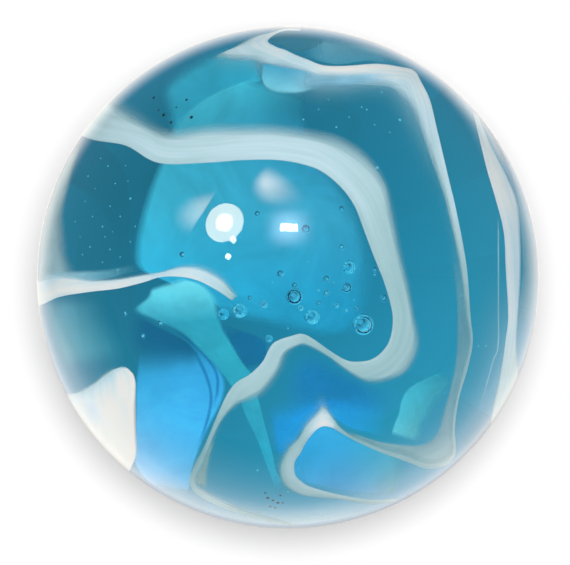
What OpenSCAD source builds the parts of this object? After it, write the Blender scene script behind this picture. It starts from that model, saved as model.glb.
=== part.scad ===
// Glass marble: a clear aqua ball with opaque white glass swirled through its skin.
//
// Frame: +Z is up, the origin is the ball's centre, millimetres.
//
// The swirls are drawn on a chart of the ball. A place on the chart is [x, y] in percent of
// the ball's radius, as it looks from straight in front of the chart's pole: 0 is the pole
// and 100 is the rim. Past the rim the count goes on down the back, to 200 at the far pole.

/* [Ball] */
// Diameter of the marble
ball_d = 16; // [12:0.5:25]

/* [White glass] */
// Depth of a full swirl below the skin, along its middle
swirl_depth = 0.5; // [0.3:0.05:0.8]
// Depth of a full swirl at its crisp edge
crisp_depth = 0.25; // [0.15:0.05:0.3]
// Depth that the curtain under a full swirl's soft edge dives to
curtain_depth = 1.2; // [0.8:0.1:2]
// How far the curtain reaches past the soft edge
curtain_reach = 0.6; // [0.2:0.1:1]
// Width from which a swirl has its full depth; narrower stretches are shallower in proportion
full_width = 1; // [0.6:0.1:1.5]

/* [Veils] */
// Thickness of a veil inside, along its middle
veil_thickness = 0.3; // [0.2:0.05:0.6]

/* [Bubbles] */
// Diameter of the largest bubble in the clear glass
bubble_d = 0.6; // [0.2:0.1:1]

/* [Layout] */
// How far the chart's pole leans from straight up towards the front
pole_lean = 6; // [0:1:20]

/* [Hidden] */

ball_r = ball_d / 2;
proud = 0.06;        // share of the radius that the swirls are drawn out of the skin, then trimmed
rim = 100;           // the chart's count at its rim
bend = 1.5;          // refractive index of the glass
steps = 3;           // rings for each row of an outline
clear_bearing = 162; // bearing of a line from pole to pole that no swirl crosses
bubble_sides = 32;
$fn = 200;

// Outlines of the swirls. A row is one place on the crisp edge and the place across from it
// on the soft edge: [crisp x, crisp y, soft x, soft y]. Followed from its first row, a swirl
// has its crisp edge on the right.

// Comes over the rim at the back left, sweeps across the top, turns down and doubles back.
main_swirl = [
    [-98, 73, -94, 78], [-90, 62, -78, 77], [-79, 55, -68, 69], [-64, 52, -54, 60],
    [-51, 45, -46, 58], [-32, 45, -32, 60], [-18, 46, -18, 60], [-4, 46, -6, 60],
    [7, 44, 9, 58], [14, 41, 21, 55], [21, 35, 31, 48], [26, 28, 38, 37],
    [30, 20, 41, 24], [34, 9, 44, 9], [38, -3, 47, -3], [41, -15, 49, -14],
    [40, -24, 51, -26], [37, -29, 47, -36], [33, -32, 40, -41], [28, -33, 31, -42],
    [23, -32, 22, -37], [17, -28, 15, -31], [7, -23, 7, -27], [1, -23, 3, -27],
    [-6, -26, -1, -30], [-10, -33, -4, -37], [-15, -38, -10, -45], [-20, -41, -15, -48],
    [-24, -46, -20, -50], [-29, -57, -26, -57], [-34, -69, -30, -69], [-38, -77, -31, -77],
    [-39, -80, -33, -80], [-38.5, -82.5, -34.5, -82], [-36, -86, -34, -84],
    [-29, -90, -28, -88], [-18, -94, -18, -92], [-7, -97, -7, -95], [3, -99, 3, -98]
];
// Starts along the bottom, hooks up to a corner and back down to the right, climbs the
// right side and rounds the eye at the top.
long_swirl = [
    [43, -88, 43, -89], [33, -88, 33, -90], [21, -86, 21, -88], [10, -83, 7, -85],
    [6, -81, 1, -83], [3, -78, -2, -81], [2.5, -75, -3.5, -77], [3, -72, -3, -73],
    [5, -69, 0, -67], [7, -65, 4, -63], [10, -61, 7, -58], [12.5, -59, 11, -54],
    [14.5, -58.5, 14, -51], [17, -59, 17, -54], [19, -60, 20, -58], [24, -63, 24, -61],
    [30, -66, 31, -64], [38, -69.5, 39, -67], [45, -72, 45, -68], [54, -75.5, 54, -71],
    [59, -75.5, 58, -71], [63, -74.5, 61, -70], [65.5, -72, 62.5, -69], [66.5, -69, 64, -67],
    [66, -59, 64, -58], [68, -48, 66, -48], [73, -35, 70, -34], [75, -25, 72, -25],
    [74, -15, 71, -15], [72, 5, 69, 4], [69, 27, 65, 22], [66, 38, 62, 33],
    [61, 59, 54, 51], [58, 70, 51, 60], [54, 77, 48, 65], [50, 82, 44, 71],
    [44, 84, 40, 75], [35, 85, 33, 76], [23, 84, 23, 75], [14, 84, 13, 74],
    [8, 86, 7, 73], [3, 88, -2, 72], [-1, 90, -8, 75], [-4, 91, -11, 81],
    [-6, 92, -15, 86], [-7, 92.5, -22, 87], [-7.5, 93, -28, 88], [-8, 93.5, -21, 91.5],
    [-7.5, 94.5, -14, 95.5], [-5, 96.5, -8, 97], [-1, 98, -1, 99], [5, 98, 5, 99]
];
// Comes over the rim at the left and ends near the middle.
left_swirl = [
    [-106, -9, -106, -6], [-97, -6, -97, -1], [-78, -6, -78, -2], [-67, -4, -67, 0],
    [-57, -1, -57, 3], [-42, 1, -42, 5], [-35, -1, -34, 5], [-28, -5, -26, 0],
    [-22, -9, -20, -7]
];
// The broad patch over the rim at the lower left.
patch_swirl = [
    [-65, -84, -68, -86], [-63, -77, -72, -86], [-60, -70, -80, -80], [-60, -60, -90, -66],
    [-60, -51, -92, -50], [-60, -45, -83, -45], [-60, -40, -73, -40], [-63, -36, -66, -36]
];
// Runs down the right side, just inside the rim.
rim_swirl = [
    [74, 65, 76, 63], [77, 54, 81, 52], [80, 42, 87, 40], [83, 31, 91, 29],
    [86, 18, 92, 16], [86, 3, 92, 1], [87, -15, 91, -15], [86, -25, 91, -26],
    [84, -39, 93, -38], [81, -54, 92, -56], [80, -68, 86, -70], [78, -78, 80, -79]
];
SWIRLS = [main_swirl, long_swirl, left_swirl, patch_swirl, rim_swirl];

// Outlines of the veils of thin white glass inside. A row is one place on edge a and the
// place across from it on edge b, as they are seen, and how deep each lies, in percent of the
// way through the ball along the line of sight: [ax, ay, bx, by, a deep, b deep]. Followed
// from its first row, a veil has its edge a on the right.

// The broad sail that hangs in the middle.
sail_veil = [
    [-12, 80, 8, 74, 40, 46], [-28, 74, 8, 64, 40, 48], [-39, 67, 10, 56, 40, 50],
    [-46, 59, 14, 48, 40, 50], [-52, 44, 22, 38, 40, 50], [-56, 34, 29, 27, 40, 50],
    [-59, 24, 33, 15, 40, 50], [-61, 14, 35, 3, 40, 50], [-60, 4, 34, -8, 40, 50],
    [-48, -2, 31, -17, 42, 50], [-32, -9, 26, -22, 44, 50], [-23, -17, 12, -25, 46, 50]
];
// The trunk that starts under the left swirl and runs down to the rim.
trunk_veil = [
    [-54, -4, -42, 0, 20, 18], [-56, -8, -33, -3, 22, 20], [-61, -13, -28, -8, 24, 22],
    [-53, -17, -27, -14, 26, 24], [-46, -20, -26, -18, 27, 25], [-41, -23, -25, -21, 28, 26],
    [-35, -29, -22, -26, 30, 28], [-30, -34, -18, -33, 32, 30], [-25, -40, -14, -38, 33, 31],
    [-20, -47, -12, -46, 34, 32], [-17, -55, -10, -54, 35, 33], [-13, -63, -8, -62, 37, 35],
    [-10, -71, -6, -70, 39, 37], [-7, -79, -4, -78, 41, 39], [-5, -85, 1, -84, 43, 41]
];
// The bright sheet at the lower left.
left_veil = [
    [-59, -27, -37, -25, 44, 48], [-60, -35, -30, -33, 44, 48], [-61, -43, -25, -41, 44, 48],
    [-61, -51, -26, -49, 44, 48], [-61, -59, -31, -59, 44, 48], [-61, -67, -35, -68, 44, 48],
    [-61, -74, -38, -77, 44, 48], [-57, -80, -39, -83, 44, 48], [-51, -84, -40, -86, 44, 48]
];
// The patch behind the corner of the long swirl.
right_veil = [
    [62, -37, 67, -41, 50, 46], [55, -40, 64, -46, 50, 46], [48, -44, 61, -50, 50, 46],
    [45, -49, 58, -55, 50, 46], [44, -54, 55, -59, 50, 46], [42, -59, 54, -63, 50, 46],
    [41, -63, 52, -66, 50, 46]
];
// The sheet inside the hook of the long swirl.
hook_veil = [
    [1, -77, 4, -68, 46, 48], [5, -82, 9, -60, 46, 48], [12, -84, 15, -57, 46, 48],
    [21, -86, 22, -61, 46, 48], [30, -87, 30, -65, 46, 48], [39, -87, 39, -68, 46, 48],
    [45, -85, 47, -72, 46, 48]
];
// The sheet between the trunk and the hook, under the main swirl.
low_veil = [
    [-6, -69, -10, -51, 52, 52], [-1, -71, -1, -47, 54, 52], [6, -61, 9, -46, 54, 52],
    [14, -54, 19, -46, 54, 52], [23, -60, 29, -46, 56, 52], [33, -63, 37, -47, 58, 54],
    [40, -65, 42, -49, 60, 56]
];
VEILS = [sail_veil, trunk_veil, left_veil, right_veil, hook_veil, low_veil];
veil_across = [0, 1 / 3, 2 / 3, 1]; // where a veil's section has its points

// Bubbles: [x, y] on the chart where the bubble is seen, its depth below the skin in percent
// of the radius, and its size as a share of the largest.
BUBBLES = [
    [29.5, -18.5, 35, 1], [2.5, -7.5, 30, 0.8], [9.5, -15.5, 45, 0.7], [-19, -13, 40, 0.7],
    [24, 4, 50, 0.6], [23, -4, 30, 0.5], [-25.5, -14.5, 55, 0.5], [-9.5, -10.5, 35, 0.4]
];

function unit(v) = v / norm(v);

// The chart's place [x, y] as a direction from the ball's centre.
function direction(x, y) =
    let (
        reach = norm([x, y]),
        back = reach > rim,
        fold = (back ? 2 * rim / reach - 1 : 1) / rim,
        height = sqrt(max(0, 1 - pow(reach * fold, 2)))
    )
    [x * fold, y * fold, back ? -height : height];

// The place at a depth in the glass that is seen at the chart's place [x, y]. The skin bends
// the line of sight, so that inside it passes the centre at reach / bend.
function seen(x, y, depth) =
    let (
        reach = norm([x, y]) / rim,
        within = 1 - depth / rim,
        lean = asin(reach) - asin(reach / bend) + asin(reach / (bend * within))
    )
    ball_r * within * concat([x, y] / (reach * rim) * sin(lean), [cos(lean)]);

// The place seen at the chart's place [x, y], a distance along the line of sight that is deep
// percent of the way through the ball, and off millimetres more.
function along_sight(x, y, deep, off) =
    let (
        reach = norm([x, y]) / rim,
        height = sqrt(1 - reach * reach),
        inside = sqrt(1 - pow(reach / bend, 2)),
        skin = [x / rim, y / rim, height],
        sight = [0, 0, -1 / bend] + (height / bend - inside) * skin
    )
    ball_r * skin + (ball_d * inside * deep / rim + off) * sight;

// A smooth curve through p[i] and p[i + 1] at t from 0 to 1, bent by the points on each side.
function between(p, i, t) =
    let (
        last = len(p) - 1,
        a = p[max(i - 1, 0)], b = p[i], c = p[i + 1], d = p[min(i + 2, last)]
    )
    b + t / 2 * ((c - a) + t * ((2 * a - 5 * b + 4 * c - d) + t * (3 * b - a - 3 * c + d)));

// Every place along an edge, as directions on the ball.
function edge(p) = [
    for (i = [0:len(p) - 2], k = [0:steps - 1]) unit(between(p, i, k / steps)),
    p[len(p) - 1]
];

// The section of a swirl between its crisp edge c and soft edge s. It stands proud of the
// skin, is a blade in the glass, and ends in the curtain that dives past the soft edge. It
// starts at the belly, from which a fan of triangles covers all of it.
function section(c, s) =
    let (
        full = min(1, norm(s - c) * ball_r / full_width),
        middle = unit(c + s),
        tip = unit(s + unit(s - c) * full * curtain_reach / ball_r),
        out = ball_r * (1 + proud)
    )
    [
        middle * (ball_r - full * swirl_depth),
        tip * (ball_r - full * curtain_depth),
        s * (ball_r - full * crisp_depth),
        s * out,
        middle * out,
        c * out,
        c * (ball_r - full * crisp_depth)
    ];

// One swirl: the sections along its outline, joined by a skin of triangles.
module swirl(rows) {
    crisp = edge([for (r = rows) direction(r[0], r[1])]);
    soft = edge([for (r = rows) direction(r[2], r[3])]);
    rings = [for (i = [0:len(crisp) - 1]) section(crisp[i], soft[i])];
    n = len(rings[0]);
    last = (len(rings) - 1) * n;
    polyhedron(
        points = [for (ring = rings) each ring],
        faces = [
            [for (k = [0:n - 1]) k],
            for (i = [0:len(rings) - 2], k = [0:n - 1])
                let (a = i * n + k, b = i * n + (k + 1) % n)
                each [[a, a + n, b], [b, a + n, b + n]],
            [for (k = [n - 1:-1:0]) last + k]
        ]
    );
}

// One veil: a thin lens across from edge a to edge b, joined along its rows.
module veil(rows) {
    last_across = len(veil_across) - 1;
    n = 2 * last_across;
    rings = [
        for (r = rows)
            let (
                place = [for (v = veil_across) let (w = 1 - v) [
                    w * r[0] + v * r[2], w * r[1] + v * r[3], w * r[4] + v * r[5],
                    veil_thickness * sqrt(v * w)
                ]]
            )
            [
                for (p = place) along_sight(p[0], p[1], p[2], -p[3]),
                for (k = [last_across - 1:-1:1]) let (p = place[k]) along_sight(p[0], p[1], p[2], p[3])
            ]
    ];
    last = (len(rings) - 1) * n;
    cap = [[0, 5, 1], [1, 4, 2], [1, 5, 4], [2, 4, 3]];
    polyhedron(
        points = [for (ring = rings) each ring],
        faces = [
            each cap,
            for (i = [0:len(rings) - 2], k = [0:n - 1])
                let (a = i * n + k, b = i * n + (k + 1) % n)
                each [[a, b, a + n], [b, b + n, a + n]],
            for (c = cap) [last + c[2], last + c[1], last + c[0]]
        ]
    );
}

module all_white() {
    rotate([pole_lean, 0, 0]) {
        for (rows = SWIRLS)
            swirl(rows);
        for (rows = VEILS)
            veil(rows);
    }
}

module bubbles() {
    rotate([pole_lean, 0, 0])
        for (b = BUBBLES)
            translate(seen(b[0], b[1], b[2]))
                sphere(d = bubble_d * b[3], $fn = bubble_sides);
}

// The true ball, turned with the chart so that its poles and its seam lie on plain glass.
module ball() {
    rotate([pole_lean, 0, 0])
        rotate([0, 0, clear_bearing])
            sphere(r = ball_r);
}

module glass_ball() {
    color([0.1, 0.55, 0.7, 0.6])
        difference() {
            ball();
            all_white();
            bubbles();
        }
}

module white_swirls() {
    color([0.86, 0.91, 0.93])
        intersection() {
            ball();
            all_white();
        }
}

glass_ball();
white_swirls();
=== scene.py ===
"""Dresses the glass marble: clear aqua glass, white swirls, veils, films, bubbles and specks."""

import math

import bpy
import numpy as np
from mathutils import Matrix, Vector


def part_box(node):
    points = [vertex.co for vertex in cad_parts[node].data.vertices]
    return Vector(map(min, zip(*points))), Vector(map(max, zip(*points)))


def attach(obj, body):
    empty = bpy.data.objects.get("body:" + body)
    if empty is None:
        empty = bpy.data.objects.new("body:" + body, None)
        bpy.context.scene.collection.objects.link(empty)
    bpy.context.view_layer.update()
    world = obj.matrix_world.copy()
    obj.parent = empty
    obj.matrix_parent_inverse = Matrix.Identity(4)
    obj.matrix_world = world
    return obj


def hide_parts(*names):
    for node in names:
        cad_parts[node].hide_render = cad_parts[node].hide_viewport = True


bl_info = {
    "name": "Glass marble",
    "version": (1, 0, 0),
    "blender": (4, 5, 0),
    "location": "View3D > Sidebar > Marble",
    "description": "Builds the looks of a glass marble over its packed frame",
    "category": "Add Mesh",
}

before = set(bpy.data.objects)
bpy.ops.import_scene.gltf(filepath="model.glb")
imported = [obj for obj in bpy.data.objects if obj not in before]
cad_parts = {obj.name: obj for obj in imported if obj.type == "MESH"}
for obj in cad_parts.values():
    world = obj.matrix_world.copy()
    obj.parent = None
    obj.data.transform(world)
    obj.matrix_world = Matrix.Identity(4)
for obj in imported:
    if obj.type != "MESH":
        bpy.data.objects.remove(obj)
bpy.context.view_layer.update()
BALL_LOW, BALL_HIGH = (np.array(corner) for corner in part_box("glass_ball"))
BALL_R = float((BALL_HIGH - BALL_LOW).max() / 2)
BALL_CENTRE = (BALL_HIGH + BALL_LOW) / 2

MM = 0.001  # metres
RIM = 100.0  # the chart's count at its rim, from 0 at its pole
BEND = 1.5  # refractive index of the glass
WHITE = (1, 1, 1, 1)
TINY = 1e-9  # keeps a division from meeting 0
GRAZING = 0.999  # lines of sight that enter nearer the rim than this are taken to enter here

# The chart's pole leans from straight up towards the front, and the camera looks down on it. These
# are the chart's axes to the right, up and out at the camera.
POLE_LEAN = math.radians(6)
AXES = np.array([
    [1, 0, 0],
    [0, math.cos(POLE_LEAN), math.sin(POLE_LEAN)],
    [0, -math.sin(POLE_LEAN), math.cos(POLE_LEAN)],
])

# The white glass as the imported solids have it, in shares of the ball's radius.
SWIRL_DEPTH = 0.5 * MM / BALL_R
CRISP_DEPTH = 0.25 * MM / BALL_R
CURTAIN_DEPTH = 1.2 * MM / BALL_R
CURTAIN_REACH = 0.6 * MM / BALL_R
FULL_WIDTH = 1.0 * MM / BALL_R
VEIL_THICKNESS = 0.3 * MM / BALL_R
SKIN_COVER = 0.03 * MM / BALL_R  # clear glass over a swirl

CRISP_TAPER = 0.25  # share of a swirl's width over which its inner face goes down from the crisp edge
MOST_SOLID = 0.97  # the most of a swirl's width that is solid white
FULL_COVER = 0.97  # what a see-through sheet covers where it goes on from a solid one
BALL_RINGS, BALL_SIDES = 160, 320
STEPS = 6  # points from one row of an outline to the next


def plain(*codes):
    """Pairs of colours of a sheet that has the same colour at both edges."""
    return [(code, code) for code in codes]


# ---------------------------------------------------------------------------------------------
# Outlines, in percent of the ball's radius on the chart. A row of a swirl is a place on its
# crisp edge, the place across from it on its soft edge, the share of its width that is solid
# white (the rest is a thin curtain that dives into the clear glass), how thin and grey the
# white glass is there (this also carries painted light and shade along the swirl), and how much
# the curtain covers. Here and in the sheets below, a row that leaves out its last values keeps
# those of the row before.

# Comes over the rim at the back left, sweeps across the top, turns down and doubles back.
MAIN_SWIRL = [
    (-98, 73, -94, 78, 0.8, 0.55, 0.35), (-90, 62, -78, 77, 0.8, 0.42), (-79, 55, -68, 69, 0.8, 0.4),
    (-64, 52, -54, 60, 0.75, 0.44), (-51, 45, -46, 58, 0.7), (-32, 45, -32, 60, 0.7, 0.4),
    (-18, 46, -18, 60, 0.7, 0.36), (-4, 46, -6, 60, 0.7, 0.38), (7, 44, 9, 58, 0.7, 0.4),
    (14, 41, 21, 55, 0.7, 0.42, 0.4), (21, 35, 31, 48, 0.75, 0.46), (26, 28, 38, 37, 0.85, 0.5),
    (29.2, 20, 41, 24, 0.85, 0.58), (33.3, 9, 44, 9, 0.85, 0.62), (38, -3, 47, -3, 0.85, 0.65),
    (41, -15, 49, -14, 0.85, 0.6), (40, -24, 51, -26, 0.85, 0.58), (37, -29, 47, -36, 0.85, 0.56),
    (33, -32, 39.6, -40), (28, -33, 30.5, -40.6, 0.85, 0.58), (23, -32.5, 22, -35.6),
    (17, -29.1, 15.8, -31, 0.85, 0.7), (7, -22.5, 7, -26.4, 0.85, 0.64), (1, -23, 3, -27, 0.85, 0.55),
    (-6, -26, -1, -30, 0.8, 0.54), (-10, -33, -4, -37), (-15, -38, -10, -45, 0.8, 0.55),
    (-20, -41, -15, -48, 0.8, 0.58), (-24, -46, -20, -50, 0.8, 0.62, 0.35),
    (-29, -57, -26, -57, 0.6, 0.72, 0.3), (-34, -69, -30, -69, 0.35, 0.75, 0.2),
    (-38, -77, -31, -77, 0.25, 0.75, 0.15), (-39, -80, -33, -80, 0.3, 0.7),
    (-38.5, -82.5, -34.5, -82, 0.5, 0.7, 0.2), (-36, -86, -34, -84, 0.8, 0.6),
    (-29, -90, -28, -88, 0.9, 0.5), (-18, -94, -18, -92.3, 0.9, 0.7, 0.3), (-7, -97, -7, -95.5, 0.9, 0.85),
    (3, -98.8, 3, -98.3, 0.9, 1),
]
# Starts along the bottom, hooks up to a corner and back down to the right, climbs the right
# side and rounds the eye at the top.
LONG_SWIRL = [
    (43, -88, 43, -89, 0.9, 0.7, 0.2), (33, -88, 33, -90), (21, -86, 21, -88, 0.9, 0.6, 0.25),
    (10, -83, 7, -86.4, 0.9, 0.5, 0.3), (6, -81, 1, -84.2, 0.85, 0.5, 0.35), (3, -78, -2, -81.5),
    (2.5, -75, -3.5, -77), (3, -72, -3, -73), (5, -69, 0, -67), (7, -65, 4, -63),
    (10, -61, 7, -58, 0.85, 0.3), (12.5, -59, 11, -54, 0.85, 0.1), (14.5, -58.5, 14, -51),
    (17, -59, 17, -54, 0.8, 0.2), (19, -60, 20, -58, 0.75, 0.5), (24, -63, 24, -61, 0.6, 0.6, 0.3),
    (30, -66, 31, -64), (38, -69.5, 39, -67, 0.5), (45, -72, 45, -68, 0.4, 0.65),
    (54, -75.5, 54, -71, 0.4, 0.7), (59, -75.5, 58, -71), (63, -74.5, 61, -70, 0.4, 0.65),
    (65.5, -72, 62.5, -69), (66.5, -69, 64, -67), (66, -59, 64, -58, 0.4, 0.65, 0.25),
    (67.4, -48, 65.4, -48, 0.35, 0.65, 0.2), (71.1, -35, 68, -34, 0.3, 0.7),
    (72.8, -25, 69.8, -25, 0.25, 0.72), (71.8, -15, 68.4, -15, 0.3), (70.2, 5, 66.6, 4, 0.5, 0.6, 0.15),
    (66.1, 27, 63.2, 22, 0.55, 0.35, 0.1), (63.5, 38, 60.3, 33), (58.7, 59, 53.3, 51, 0.55, 0.3, 0.2),
    (56.2, 70, 49.2, 60, 0.55, 0.25, 0.3), (53, 77, 46.8, 65, 0.6, 0.2), (50, 82, 44, 71, 0.75),
    (44, 83.6, 40, 75, 0.75, 0.14, 0.35), (35, 84.6, 33, 76), (23, 83.6, 23, 75, 0.6, 0.1, 0.4),
    (14, 83.8, 13, 74, 0.5, 0.14), (8, 86, 7, 73, 0.28, 0.25, 0.2), (3, 88, -2, 72, 0.25, 0.3, 0.15),
    (-1, 90, -8, 75, 0.3, 0.2), (-4, 91, -11, 81, 0.5, 0.2, 0.25), (-6, 92, -15, 86, 0.7, 0.2, 0.35),
    (-7, 92.5, -22, 87, 0.8, 0.2, 0.4), (-7.5, 93, -28, 88, 0.85), (-8, 93.5, -21, 91.5),
    (-7.5, 94.5, -14, 95.5, 0.8), (-5, 96.5, -8, 97, 0.8, 0.2, 0.35), (-1, 98, -1, 99, 0.8, 0.2, 0.3),
    (5, 98, 5, 99, 0.8, 0.3, 0.25),
]
# Comes over the rim at the left and ends near the middle.
LEFT_SWIRL = [
    (-106, -14, -106, -4, 0.9, 0.2, 0.3), (-97, -10.5, -97, -0.5, 0.9, 0.18),
    (-90, -7.6, -90, 0.5, 0.9, 0.12), (-78, -5.7, -78, -1.2), (-67, -4.4, -67, -0.8, 0.9, 0.14),
    (-57, -2, -57, 0.9, 0.85, 0.22), (-50, 0.1, -50, 2, 0.85, 0.28, 0.35), (-42, 0.2, -42, 4, 0.85, 0.2),
    (-35, -1.4, -34, 3.6, 0.8, 0.22), (-28, -5, -26, -0.6, 0.8, 0.35, 0.3),
    (-22, -9, -20, -7, 0.7, 0.6, 0.25),
]
# The broad patch over the rim at the lower left.
PATCH_SWIRL = [
    (-65, -84, -68, -86, 0.95, 0.2, 0.3), (-63, -77, -72, -86, 0.95, 0.1), (-60, -70, -80, -80, 0.95, 0.05),
    (-60, -60, -90, -66), (-60, -51, -92, -49), (-60, -45.5, -83, -45.5), (-60, -41.5, -76.5, -41.8),
    (-61, -38, -70.5, -37.2, 0.95, 0.1), (-63.5, -35.6, -67, -35.6, 0.9, 0.15),
]
# Runs down the right side, just inside the rim.
RIM_SWIRL = [
    (73.4, 66, 75.6, 64, 0.9, 0.2, 0.3), (76, 54, 80.6, 52, 0.9, 0.14), (78.8, 42, 86.8, 40, 0.9, 0.12),
    (82, 31, 91, 29), (85.2, 18, 92, 16, 0.9, 0.2), (86, 3, 92, 1), (87, -15, 91, -15),
    (86, -25, 90.5, -26, 0.9, 0.35), (84, -39, 91.5, -38, 0.85, 0.5), (81, -54, 92, -56, 0.75),
    (80, -68, 86, -70, 0.7, 0.6), (78, -78, 80, -79),
]
# Each swirl's rows, and how much thinner it gets from its crisp edge to its soft edge.
SWIRLS = {
    "main": (MAIN_SWIRL, 0.05),
    "long": (LONG_SWIRL, 0.35),
    "left": (LEFT_SWIRL, 0.1),
    "patch": (PATCH_SWIRL, 0.4),
    "rim": (RIM_SWIRL, 0.1),
}

# Veils of thin white glass inside. Their colours also carry painted light and shade: bright where
# the ball gathers light onto the paper beneath it, dark where that paper lies in its shade. A row is a
# place on edge a and the place across from it on edge b, as they are seen, and how deep each lies in
# percent of the way through the ball along the line of sight. With the rows go pairs of colours at
# edges a and b, evenly from the start to the end, and the shares over which the veil fades in from
# edge a, from edge b, at its start and at its end.
VEILS = {
    # the broad sail that hangs in the middle
    "sail": (
        (("8CD2D4", "407C84"), ("80BCC0", "74A0AC"), ("78BAC0", "98BCC4"), ("74CCDA", "64B2C2"),
         ("70BCC8", "5AA4B2")), (0.02, 0.1, 0.05, 0.1), [
        (-12, 80, 8, 74, 40, 46), (-28, 74, 8, 64, 40, 48), (-39, 67, 10, 56, 40, 50), (-46, 59, 14, 48),
        (-52, 44, 22, 38), (-56, 34, 29, 27), (-59, 24, 33, 15), (-61, 14, 35, 3), (-60, 4, 34, -8),
        (-48, -2, 31, -17, 42), (-32, -9, 26, -22, 44), (-23, -17, 12, -25, 46)]),
    # the trunk that starts under the left swirl and runs down to the rim
    "trunk": (
        (("94DCE0", "B8FCFC"), ("56ACB6", "50ACB8"), ("5CB6BD", "5CB6BD"), ("64BBC6", "64BBC6"),
         ("66BECA", "66BECA")), (0.1, 0.08, 0.04, 0.08), [
        (-54, -4, -42, 0, 20, 18), (-56, -8, -33, -3, 22, 20), (-61, -13, -28, -8, 24, 22),
        (-53, -17, -27, -14, 26, 24), (-46, -20, -26, -18, 27, 25), (-41, -23, -25, -21, 28, 26),
        (-35, -29, -22, -26, 30, 28), (-30, -34, -18, -33, 32, 30), (-25, -40, -14, -38, 33, 31),
        (-20, -47, -12, -46, 34, 32), (-17, -55, -10, -54, 35, 33), (-13, -63, -8, -62, 37, 35),
        (-10, -71, -6, -70, 39, 37), (-7, -79, -4, -78, 41, 39), (-5, -85, 1, -84, 43, 41)]),
    # painted light: the bright sheet at the lower left, where the ball gathers light onto the paper beneath
    # it
    "left": ((("5A9EB4", "90C8E8"), ("A2DAF8", "9CCEEC"), ("C0C4DE", "B4C4D8")), (0.02, 0.04, 0.2, 0.1), [
        (-59, -27, -37, -25, 44, 48), (-60, -35, -30, -33), (-61, -43, -25, -41), (-61, -51, -26, -49),
        (-61, -59, -31, -59), (-61, -67, -35, -68), (-61, -74, -38, -77), (-57, -80, -39, -83),
        (-51, -84, -40, -86)]),
    # the patch behind the corner of the long swirl
    "right": ((("84B4B4", "78A4A8"), ("BCDCD4", "8CB4B4"), ("E4EAE0", "A8C0BC")), (0.05, 0.35, 0.1, 0.1), [
        (62, -37, 67, -41, 50, 46), (55, -40, 64, -46), (48, -44, 61, -50), (45, -49, 58, -55),
        (44, -54, 55, -59), (42, -59, 54, -63), (41, -63, 52, -66)]),
    # the sheet inside the hook of the long swirl
    "hook": ((("7AC0DE", "7AC0DE"), ("8AB0D0", "90CAE2"), ("96A09A", "9CC2BE")), (0.1, 0.1, 0.05, 0.15), [
        (1, -77, 4, -68, 46, 48), (5, -82, 9, -60), (12, -84, 15, -57), (21, -86, 22, -61),
        (30, -87, 30, -65), (39, -87, 39, -68), (45, -85, 47, -72)]),
    # the sheet between the trunk and the hook, under the main swirl
    "low": ((("62AACA", "60ACD0"), ("78C8E8", "66B8E0")), (0.08, 0.5, 0.1, 0.35), [
        (-6, -69, -10, -51, 52, 52), (-1, -71, -1, -47, 54), (6, -61, 9, -46), (14, -54, 19, -46),
        (23, -60, 29, -46, 56), (33, -63, 37, -47, 58, 54), (40, -65, 42, -49, 60, 56)]),
}
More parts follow.
